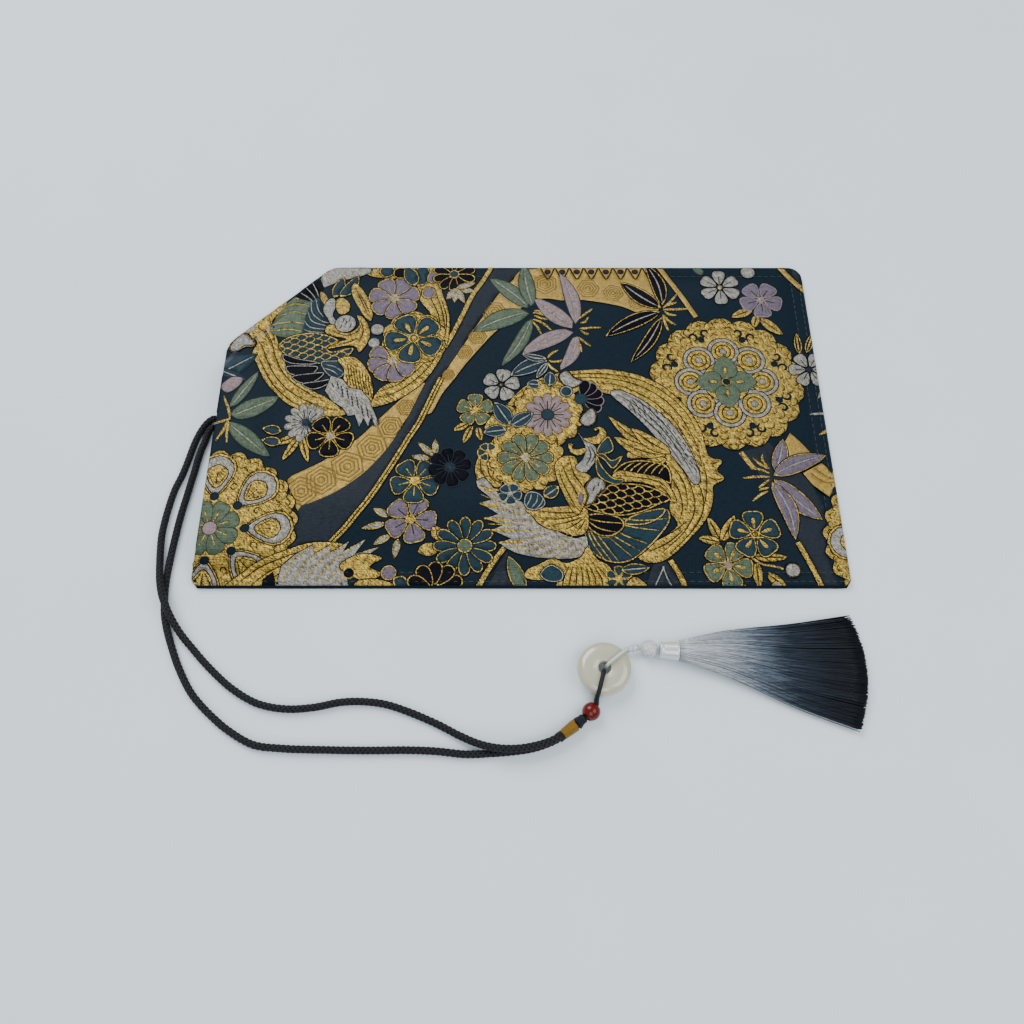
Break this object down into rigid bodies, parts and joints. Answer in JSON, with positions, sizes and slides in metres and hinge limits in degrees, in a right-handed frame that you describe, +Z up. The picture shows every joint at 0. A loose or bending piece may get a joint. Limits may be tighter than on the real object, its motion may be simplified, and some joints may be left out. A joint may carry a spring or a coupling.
{
  "type": "drawstring pouch",
  "caption": "Flat lined brocade pouch with a clipped corner and an open mouth, and a black drawstring that carries a whipping, a bead, a stone ring and a silk tassel.",
  "frame": {"origin": "middle of the pouch's footprint, on the table it lies on", "axes": "+X along the pouch away from its mouth, +Y away from the tassel, +Z up out of the front cloth"},
  "size_m": [0.2655, 0.2139, 0.0122],
  "materials": {
    "brocade": "silk woven in a dark blue ground",
    "gold_weft": "flat metallic thread, woven in",
    "silver_weft": "pale metallic thread, woven in",
    "sage_weft": "matte silk, woven in",
    "teal_weft": "matte silk, woven in",
    "mauve_weft": "matte silk, woven in",
    "rose_weft": "matte silk, woven in",
    "navy_weft": "matte silk, woven in",
    "slate_weft": "twilled silk, woven in",
    "lining_cloth": "plain smooth lining",
    "black_braid": "matte braided cord",
    "gold_thread": "wound silk thread, soft sheen",
    "navy_thread": "wound silk thread, soft sheen",
    "red_stone": "polished",
    "pale_jade": "polished, slightly translucent",
    "silver_silk": "satin silk",
    "dark_silk": "fine silk threads, silver at the head and near black at the ends"
  },
  "bodies": {
    "pouch": {"front_panel": "brocade", "gold_ribbon": "gold_weft", "gold_ribbon_end": "gold_weft", "slate_ribbon": "slate_weft", "ribbon_edge": "gold_weft", "slate_ribbon_right": "slate_weft", "left_medallion": "gold_weft", "right_medallion": "gold_weft", "round_medallion": "gold_weft", "round_medallion_lobes": "silver_weft", "left_medallion_flower": "sage_weft", "round_medallion_flower": "sage_weft", "left_phoenix_crest": "gold_weft", "left_phoenix_sweep": "gold_weft", "left_phoenix_body": "teal_weft", "left_phoenix_wing": "sage_weft", "left_phoenix_head": "gold_weft", "left_phoenix_tail": "silver_weft", "mauve_flower_far": "mauve_weft", "mauve_flower_near": "mauve_weft", "teal_plum": "teal_weft", "white_chrysanthemum": "silver_weft", "navy_plum": "navy_weft", "edge_leaves": "sage_weft", "bottom_wing_gold": "gold_weft", "bottom_wing_silver": "silver_weft", "mauve_plum": "mauve_weft", "teal_plum_near": "teal_weft", "navy_chrysanthemum": "navy_weft", "teal_chrysanthemum": "teal_weft", "sage_plum": "sage_weft", "phoenix_ring": "gold_weft", "phoenix_wing_right": "silver_weft", "phoenix_wing_left": "silver_weft", "phoenix_body": "navy_weft", "phoenix_tail": "teal_weft", "phoenix_neck": "gold_weft", "rose_chrysanthemum": "rose_weft", "sage_chrysanthemum": "sage_weft", "teal_plum_right": "teal_weft", "sage_plum_right": "sage_weft", "sage_bamboo": "sage_weft", "rose_bamboo": "rose_weft", "navy_bamboo": "navy_weft", "mauve_bamboo": "mauve_weft", "back_panel": "brocade", "lining": "lining_cloth", "drawstring_in_hem": "black_braid", "drawstring_strand_over": "black_braid", "drawstring_strand_under": "black_braid", "gold_whipping": "gold_thread", "navy_whipping": "navy_thread", "thin_cord_loop": "black_braid"},
    "bead": {"red_bead": "red_stone"},
    "ring": {"stone_ring": "pale_jade"},
    "tassel": {"silver_loop": "silver_silk", "twisted_knot": "silver_silk", "button_knot": "silver_silk", "tassel_cap": "silver_silk", "tassel_skirt": "dark_silk"}
  },
  "joints": [
    {"name": "bead_turn", "type": "hinge", "parent": "pouch", "child": "bead", "pos_m": [0.0243, -0.1225, 0.00335], "axis": [0.6606, 0.7507, 0], "continuous": true},
    {"name": "ring_turn", "type": "hinge", "parent": "pouch", "child": "ring", "pos_m": [0.0294, -0.1075, 0.00495], "axis": [0, 0, 1], "continuous": true},
    {"name": "tassel_swing", "type": "hinge", "parent": "pouch", "child": "tassel", "pos_m": [0.0294, -0.1075, 0.00495], "axis": [0, 0, 1], "range_deg": [-55, 5]}
  ]
}
